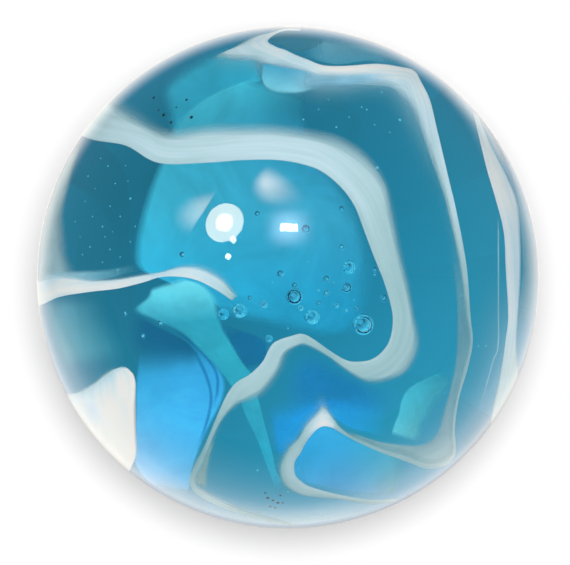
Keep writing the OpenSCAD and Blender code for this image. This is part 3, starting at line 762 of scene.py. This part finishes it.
def belly(w, full):
    """Depth of a swirl's inner face: straight from the crisp edge to the middle, and on to the curtain's tip.

    Over CRISP_TAPER it tapers off to nothing, so that the crisp edge shows no dark wall from above.
    """
    straight = np.where(
        w < 0.5, CRISP_DEPTH + (SWIRL_DEPTH - CRISP_DEPTH) * 2 * w,
        SWIRL_DEPTH + (CURTAIN_DEPTH - SWIRL_DEPTH) * (w - 0.5) / 1.5)
    return SKIN_COVER + (full * straight - SKIN_COVER) * np.minimum(w / CRISP_TAPER, 1)


def flow_of(path, w, fall):
    """The flow attribute: millimetres along, millimetres across, and thinness, which grows by fall w^2."""
    width, thin, gone = path[3], path[6], path[7]
    scale = BALL_R / MM
    return np.stack([gone * scale + 0 * w, w * width * scale, thin + fall * np.minimum(w, 1) ** 2], axis=-1)


def solid_swirl(name, rows, fall, material, across=10):
    """The opaque white part of a swirl: a closed blade.

    Its face lies just under the skin, from the crisp edge to where the curtain starts, and its back
    follows the belly. The places across are those of a half circle, w = (1 - cos(pi t)) / 2, so that
    they lie close together at both sides.
    """
    path = swirl_path(rows)
    full, solid = path[4], path[5]
    v = (1 - np.cos(np.pi * np.linspace(0, 1, across))) / 2
    w = np.concatenate([v, v[-2:0:-1]])[None] * solid
    face, back = SKIN_COVER + 0 * w[:, :across], belly(w[:, across:], full)
    points = swirl_place(path, w, np.concatenate([face, back], axis=1))
    flow = flow_of(path, w, fall)
    rings, sides = w.shape
    start, end, last = rings * sides, rings * sides + 1, (rings - 1) * sides
    faces = grid_faces(rings, sides, ring=True)
    faces += [[start, (k + 1) % sides, k] for k in range(sides)]
    faces += [[end, last + k, last + (k + 1) % sides] for k in range(sides)]
    points, flow = (
        np.vstack([grid.reshape(-1, 3), grid[0].mean(0), grid[-1].mean(0)]) for grid in (points, flow))
    return make_piece(name, points, faces, material, flow=flow)


def curtain(name, rows, fall, material, across=14):
    """The thin curtain of a swirl: from the solid part it dives past the soft edge to its tip and turns back.

    The outer face goes down as the square of the way out, and the inner face follows the belly. It gets
    thinner and bluer with the way out, and its cover falls in two smooth steps: a short one from
    FULL_COVER to what the swirl's row says, and a long one from there to nothing.
    """
    overlap, short, long, inner_cover, more_thin = 0.06, 0.25, 0.75, 0.3, 0.6
    path = swirl_path(rows)
    full, solid, sheet = path[4], path[5], path[8]
    v = np.linspace(0, 1, across)[None]
    start = solid - overlap
    w_out = start + (2 - start) * v
    w_in = 2 + (solid - 2) * v[:, 1:]
    outer = SKIN_COVER + full * (CURTAIN_DEPTH - SKIN_COVER) * v ** 2
    w, depth = np.concatenate([w_out, w_in], axis=1), np.concatenate([outer, belly(w_in, full)], axis=1)
    out_cover = sheet * (1 - ramp(v, long)) + (FULL_COVER - sheet) * (1 - ramp(v, short))
    in_cover = inner_cover * sheet * ramp(v[:, 1:], 1)
    flow = flow_of(path, w, fall)
    flow[..., 2] += more_thin * np.concatenate([v, v[:, -2::-1]], axis=1)
    return make_piece(
        name, swirl_place(path, w, depth), grid_faces(*w.shape), material, flow=flow,
        cover=np.concatenate([out_cover, in_cover], axis=1))


def colours_between(pairs, u, v):
    """Linear colours at u along and v across, straight between pairs of colours for edges a and b."""
    at = np.linspace(0, 1, len(pairs))
    ends = np.array([[from_hex(code) for code in pair] for pair in pairs])
    edge_a, edge_b = (
        np.stack([np.interp(u[:, 0], at, ends[:, side, k]) for k in range(3)], axis=-1) for side in (0, 1))
    v = v[..., None]
    rgb = edge_a[:, None] * (1 - v) + edge_b[:, None] * v
    return np.concatenate([rgb, np.ones_like(rgb[..., :1])], axis=-1)


def sheet_between(rows, steps, across):
    """A sheet straight between its edges: shares along and across, places on the chart, and depths."""
    path = smooth(rows, steps)
    u, v = np.linspace(0, 1, len(path))[:, None], np.linspace(0, 1, across)[None]
    a, b = path[:, None, 0:2], path[:, None, 2:4]
    place = a + v[..., None] * (b - a)
    deep = (path[:, 4:5] + v * (path[:, 5:6] - path[:, 4:5])) / RIM
    return u, v, place, deep


def fade_in(u, v, fades):
    """A smooth step up from each edge and each end, over the share of the sheet that fades gives."""
    return ramp(v, fades[0]) * ramp(1 - v, fades[1]) * ramp(u, fades[2]) * ramp(1 - u, fades[3])


def faded_sheet(name, pairs, fades, most, rows, material, across=28):
    """A sheet without thickness whose cover fades in to most, from each edge and each end."""
    u, v, place, deep = sheet_between(rows, STEPS, across)
    points = along_sight(place[..., 0], place[..., 1], deep)
    return make_piece(
        name, points, grid_faces(*deep.shape), material, tint=colours_between(pairs, u, v),
        cover=most * fade_in(u, v, fades))


def veil_body(name, pairs, fades, rows, material, across=28):
    """The solid part of a veil, inside its faded borders: a thin lens that closes all round.

    It is VEIL_THICKNESS 4 v (1 - v) thick across, along the line of sight, and gets thinner near its two
    ends, where 12 u (1 - u) is below 1.
    """
    u, v, place, deep = sheet_between(rows, STEPS, across)
    i0, i1 = math.ceil(fades[2] * (len(u) - 1)), math.floor((1 - fades[3]) * (len(u) - 1))
    k0, k1 = math.ceil(fades[0] * (across - 1)), math.floor((1 - fades[1]) * (across - 1))
    part = (slice(i0, i1 + 1), slice(k0, k1 + 1))
    high, wide = i1 - i0 + 1, k1 - k0 + 1
    along, over = np.linspace(0, 1, high)[:, None], np.linspace(0, 1, wide)[None]
    thick = 2 * VEIL_THICKNESS * over * (1 - over) * np.minimum(1, 12 * along * (1 - along))
    x, y, d = place[part][..., 0], place[part][..., 1], deep[part]
    front, back = along_sight(x, y, d, -thick), along_sight(x, y, d, thick)
    index = np.arange(high * wide).reshape(high, wide)
    behind = index.copy()
    behind[1:-1, 1:-1] = high * wide + np.arange((high - 2) * (wide - 2)).reshape(high - 2, wide - 2)
    near = np.stack([index[:-1, :-1], index[:-1, 1:], index[1:, 1:], index[1:, :-1]], axis=-1)
    far = np.stack([behind[:-1, :-1], behind[1:, :-1], behind[1:, 1:], behind[:-1, 1:]], axis=-1)
    points = np.vstack([front.reshape(-1, 3), back[1:-1, 1:-1].reshape(-1, 3)])
    tint = colours_between(pairs, u, v)[part]
    tint = np.vstack([tint.reshape(-1, 4), tint[1:-1, 1:-1].reshape(-1, 4)])
    faces = near.reshape(-1, 4).tolist() + far.reshape(-1, 4).tolist()
    piece = make_piece(name, points, faces, material, tint=tint)
    sharpen(piece.data, np.setdiff1d(index, index[1:-1, 1:-1]))
    return piece


def specks(name, places, colour, material, rings=4, sides=6):
    """Small round grains under the skin, joined in one piece."""
    points, faces = ball_mesh(1, rings, sides)
    x, y, depth, size = np.array(places).T
    centres = under_skin(x, y, depth / RIM)
    cloud = centres[:, None] + points[None] * size[:, None, None] / 2 * MM
    step = len(points)
    every = [[corner + step * number for corner in face] for number in range(len(places)) for face in faces]
    tint = np.tile([*from_hex(colour), 1], (cloud.shape[0] * step, 1))
    return make_piece(name, cloud, every, material, tint=tint)


# ---------------------------------------------------------------------------------------------
# Stage


def make_floor(stage):
    """A wide paper sheet under the ball."""
    half = 2.0
    points = np.array([[x * half, y * half, BALL_LOW[2]] for x, y in ((-1, -1), (1, -1), (1, 1), (-1, 1))])
    new_object("paper_floor", points, [[0, 1, 2, 3]], paper_sheet(stage))


def only_mirrored(thing):
    """Hides a lamp or a card from the eye and from all but what the ball's skin mirrors."""
    thing.visible_camera = thing.visible_diffuse = thing.visible_transmission = False


def add_lamp(name, x, y, size, radiance, colour, distance=0.3, shape="DISK"):
    """An area lamp whose mirror image lies at the chart's place x, y. size is its full angle in degrees."""
    toward = Vector(mirrored(x, y))
    wide, high = (2 * distance * math.tan(math.radians(a) / 2) for a in size)
    data = bpy.data.lights.new(name, "AREA")
    data.shape = shape
    data.size, data.size_y = wide, high
    area = wide * high * (math.pi / 4 if shape == "DISK" else 1)
    data.energy = radiance * area * math.pi
    data.color = colour
    lamp = bpy.data.objects.new(name, data)
    lamp.location = toward * distance
    lamp.rotation_mode = "QUATERNION"
    lamp.rotation_quaternion = toward.to_track_quat("Z", "Y")
    only_mirrored(lamp)
    bpy.context.scene.collection.objects.link(lamp)
    return lamp


def mirrored_card(name, rows, fades, radiance, colour, distance=0.3):
    """A soft bright patch that only the ball's skin mirrors, where its rows lie on the chart.

    Its light is radiance times a smooth step up from each edge and each end.
    """
    u, v, place, _ = sheet_between(rows, steps=4, across=16)
    points = mirrored(place[..., 0], place[..., 1]) * distance
    material, tree = new_material(name)
    lit = add_node(tree, "Attribute", attribute_name="cover")
    strength = add_node(tree, "Math", {0: lit.outputs["Fac"], 1: radiance}, operation="MULTIPLY")
    light = add_node(tree, "Emission", {"Color": (*colour, 1), "Strength": strength})
    clear = add_node(tree, "BsdfTransparent")
    add_node(tree, "OutputMaterial", {"Surface": add_node(tree, "AddShader", {0: light, 1: clear})})
    card = new_object(name, points, grid_faces(*place.shape[:2]), material, cover=fade_in(u, v, fades))
    only_mirrored(card)
    card.visible_shadow = False


def make_lamps(stage):
    """The round lamp with its bright middle, two small bulbs, the flash, and a soft lamp overhead."""
    add_lamp("round_lamp", -24.8, 21.4, (17.1, 17.1), 14.2, (1.0, 0.81, 0.56))
    add_lamp("round_lamp_middle", -24.8, 21.4, (8, 8), 11.0, (1, 0.75, 0.65), distance=0.29)
    add_lamp("upper_bulb", -21.3, 14.7, (2.9, 2.9), 20, (1, 0.8, 0.5))
    add_lamp("lower_bulb", -23.3, 8.2, (2.8, 2.8), 22, (1, 0.85, 0.6))
    add_lamp("flash", 0.3, 19.5, (7.9, 3.4), 30, (0.9, 0.95, 1), shape="RECTANGLE")
    wide = 10
    radiance = stage.overhead / math.sin(math.radians(wide / 2)) ** 2
    overhead = add_lamp("overhead_lamp", 0.6, 2.7, (wide, wide), radiance, (1, 1, 1))
    overhead.visible_glossy = False
    overhead.visible_diffuse = True
    mirrored_card("window_smear", SMEAR, (0.35, 0.75, 0.45, 0.65), 14.0, (1, 0.72, 0.52))
    mirrored_card("window_wedge", WEDGE, (0.04, 0.96, 0.4, 0.45), 8.0, (1, 0.76, 0.56))
    mirrored_card("flash_glow", FLASH_GLOW, (0.5, 0.5, 0.5, 0.5), 12.0, (0.62, 0.8, 1))


def make_room(scene, stage):
    """An even pale room. The eye sees white, and the ball's skin mirrors it dimly."""
    world = bpy.data.worlds.new("pale_room")
    tree = empty_tree(world)
    light, dim, white = (
        add_node(tree, "Background", {"Color": WHITE, "Strength": strength})
        for strength in (stage.sky, stage.room_mirrored, 1.0))
    through = through_glass(tree, "Background", white, stage.inner_light)
    add_node(tree, "OutputWorld", {"Surface": by_ray(tree, light, (
        ("Is Camera Ray", white), ("Is Glossy Ray", dim), ("Is Transmission Ray", through)))})
    scene.world = world


def make_camera(scene):
    """A long lens over the chart's pole. The ball's centre shows at (288, 277.5) in the 570 x 565 frame."""
    frame_w, frame_h = 570, 565
    centre_px, radius_px = (288, 277.5), 251
    distance = 50 * BALL_R
    right, up, out = AXES
    metre_per_px = BALL_R / radius_px
    aim = (
        (frame_w / 2 - centre_px[0]) * metre_per_px * right
        + (centre_px[1] - frame_h / 2) * metre_per_px * up)
    data = bpy.data.cameras.new("camera")
    data.sensor_width = 36
    data.lens = data.sensor_width * distance / (frame_w * metre_per_px)
    data.clip_start, data.clip_end = 0.01, 5
    camera = bpy.data.objects.new("camera", data)
    turn = Matrix(AXES).transposed().to_4x4()
    camera.matrix_world = Matrix.Translation(Vector(BALL_CENTRE + aim + out * distance)) @ turn
    scene.collection.objects.link(camera)
    scene.camera = camera
    scene.view_settings.view_transform = "Standard"


# ---------------------------------------------------------------------------------------------
# Settings


def colour_property(name, description, code):
    """A colour setting with its default as an sRGB hex code."""
    return bpy.props.FloatVectorProperty(
        name=name, description=description, subtype="COLOR", size=3, default=from_hex(code), min=0, max=1)


def number_property(name, description, default, most=1.0):
    """A plain number setting from 0 up."""
    return bpy.props.FloatProperty(name=name, description=description, default=default, min=0.0, max=most)


class MarbleGlass(bpy.types.PropertyGroup):
    """Colours of the marble's glass."""

    aqua: colour_property("Clear glass", "Colour that light keeps in the clear glass", "27E7F7")
    strength: number_property("Strength", "How strongly the clear glass tints, for each metre", 230.0, 1000.0)
    shadow_light: number_property(
        "Light in the shadow", "Share of the lamps' light that passes the ball", 0.03)
    lamps_inside: number_property("Lamps inside", "Share of the lamps' light that reaches the inside", 0.2)
    white: colour_property("White glass", "Colour of the white glass where it is thick", "F2F0ED")
    pale_white: colour_property("Pale white glass", "Its colour where it is less thick", "CCE4EE")
    thin_white: colour_property("Thin white glass", "Its colour where it is thin", "AECFD5")
    sheer_white: colour_property("Sheer white glass", "Its colour where it is thinnest", "6DAEBC")
    # painted glow of the white glass
    white_painted_glow: number_property("White glow", "Light that soaks through the white glass", 0.25, 2.0)
    # painted glow of the veils, films, seeds and specks
    veil_painted_glow: number_property("Veil glow", "Light that comes up through the veils", 0.66, 2.0)


class MarbleStage(bpy.types.PropertyGroup):
    """Light of the stage round the marble."""

    sky: number_property("Sky", "Even light of the room on the paper", 0.1)
    overhead: number_property("Overhead lamp", "Light of the lamp over the ball", 0.505)
    inner_light: number_property("Inner light", "Even light of the room on what lies in the glass", 0.85, 2.0)
    room_mirrored: number_property("Room mirrored", "How bright the ball's skin mirrors the room", 0.08)
    front_mirrored: number_property(
        "Front mirrored", "How bright the skin mirrors the paper in front", 1.55, 2.0)
    room_tone: colour_property("Room tone", "Colour of the paper that the skin mirrors", "FFF6EC")
    floor_lift: number_property("Floor lift", "White that the eye sees on top of the lit paper", 0.568)
    shade_under: number_property("Shade under", "How bright the paper under the ball shows through it", 0.5)
    shade_lean: bpy.props.FloatVectorProperty(
        name="Shade lean", description="How that brightness grows, for each radius", default=(0.5, -0.6, 0.0))


class MARBLE_OT_ball(bpy.types.Operator):
    """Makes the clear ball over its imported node."""

    bl_idname = "marble.ball"
    bl_label = "Clear ball"

    def execute(self, context):
        points, faces = ball_mesh(BALL_R, BALL_RINGS, BALL_SIDES)
        piece = make_piece(
            "clear_ball", points + BALL_CENTRE, faces, clear_glass(context.scene.marble_glass))
        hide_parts("glass_ball")
        return {"FINISHED"}


def replace_white(piece):
    """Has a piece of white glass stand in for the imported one."""
    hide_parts("white_swirls")


class MARBLE_OT_swirls(bpy.types.Operator):
    """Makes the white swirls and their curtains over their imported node."""

    bl_idname = "marble.swirls"
    bl_label = "White swirls"

    def execute(self, context):
        glass = context.scene.marble_glass
        white = white_glass("opaque_white_glass_painted_glow", glass, see_through=False)
        thin = white_glass("thin_white_glass_painted_glow", glass, see_through=True)
        for name, (rows, fall) in SWIRLS.items():
            replace_white(solid_swirl(f"{name}_swirl", rows, fall, white))
            replace_white(curtain(f"{name}_curtain", rows, fall, thin))
        return {"FINISHED"}


class MARBLE_OT_veils(bpy.types.Operator):
    """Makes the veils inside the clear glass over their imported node."""

    bl_idname = "marble.veils"
    bl_label = "Veils inside"

    def execute(self, context):
        glow = context.scene.marble_glass.veil_painted_glow
        milky, faded = veil_glass("milky_veil_painted_glow", glow, False), veil_glass("faded_veil_painted_glow", glow, True)
        for name, (pairs, fades, rows) in VEILS.items():
            replace_white(veil_body(f"{name}_veil", pairs, fades, rows, milky))
            replace_white(faded_sheet(f"{name}_veil_border", pairs, fades, FULL_COVER, rows, faded))
        return {"FINISHED"}


class MARBLE_OT_films(bpy.types.Operator):
    """Makes the faint films, folds, seeds and specks in the clear glass."""

    bl_idname = "marble.films"
    bl_label = "Films and seeds"

    def execute(self, context):
        glow = context.scene.marble_glass.veil_painted_glow
        film, grain = veil_glass("film_of_white_glass_and_painted_light", glow, True), veil_glass("grain_painted_glow", glow, False)
        pieces = [
            faded_sheet(f"{name}_film", pairs, fades, most, rows, film)
            for name, (pairs, fades, most, rows) in FILMS.items()
        ]
        pieces.append(specks("seeds", SEEDS, "64B6C8", grain))
        pieces.append(specks("iron_specks", SPECKS, "24323A", grain))
        return {"FINISHED"}


class MARBLE_OT_bubbles(bpy.types.Operator):
    """Makes the air bubbles inside the clear glass."""

    bl_idname = "marble.bubbles"
    bl_label = "Bubbles"

    def execute(self, context):
        skin = bubble_skin()
        kinds = (("bubble", BUBBLES, 16, 24), ("small_bubble", SMALL_BUBBLES, 8, 12))
        for kind, places, rings, sides in kinds:
            points, faces = ball_mesh(1, rings, sides)
            for number, (x, y, depth, size) in enumerate(places):
                centre = under_skin(np.array(x), np.array(y), depth / RIM)
                bubble = make_piece(f"{kind}_{number + 1}", points * size / 2 * MM + centre, faces, skin)
        return {"FINISHED"}


class MARBLE_OT_stage(bpy.types.Operator):
    """Makes the paper sheet, lamps, room and camera."""

    bl_idname = "marble.stage"
    bl_label = "Stage"

    def execute(self, context):
        stage = context.scene.marble_stage
        make_floor(stage)
        make_lamps(stage)
        make_room(context.scene, stage)
        make_camera(context.scene)
        return {"FINISHED"}


class MARBLE_PT_panel(bpy.types.Panel):
    """Lists the marble's pieces and settings."""

    bl_idname = "MARBLE_PT_panel"
    bl_label = "Glass marble"
    bl_space_type = "VIEW_3D"
    bl_region_type = "UI"
    bl_category = "Marble"

    def draw(self, context):
        for group in (context.scene.marble_glass, context.scene.marble_stage):
            for name in group.__annotations__:
                self.layout.prop(group, name)
        for operator in OPERATORS:
            self.layout.operator(operator.bl_idname)


OPERATORS = (
    MARBLE_OT_stage, MARBLE_OT_ball, MARBLE_OT_swirls, MARBLE_OT_veils, MARBLE_OT_films, MARBLE_OT_bubbles)
CLASSES = (MarbleGlass, MarbleStage, *OPERATORS, MARBLE_PT_panel)


def register():
    for kind in CLASSES:
        bpy.utils.register_class(kind)
    bpy.types.Scene.marble_glass = bpy.props.PointerProperty(type=MarbleGlass)
    bpy.types.Scene.marble_stage = bpy.props.PointerProperty(type=MarbleStage)


def unregister():
    del bpy.types.Scene.marble_stage
    del bpy.types.Scene.marble_glass
    for kind in reversed(CLASSES):
        bpy.utils.unregister_class(kind)


def main():
    register()
    bpy.ops.marble.stage()
    bpy.ops.marble.ball()
    bpy.ops.marble.swirls()
    bpy.ops.marble.veils()
    bpy.ops.marble.films()
    bpy.ops.marble.bubbles()


if __name__ == "__main__":
    main()
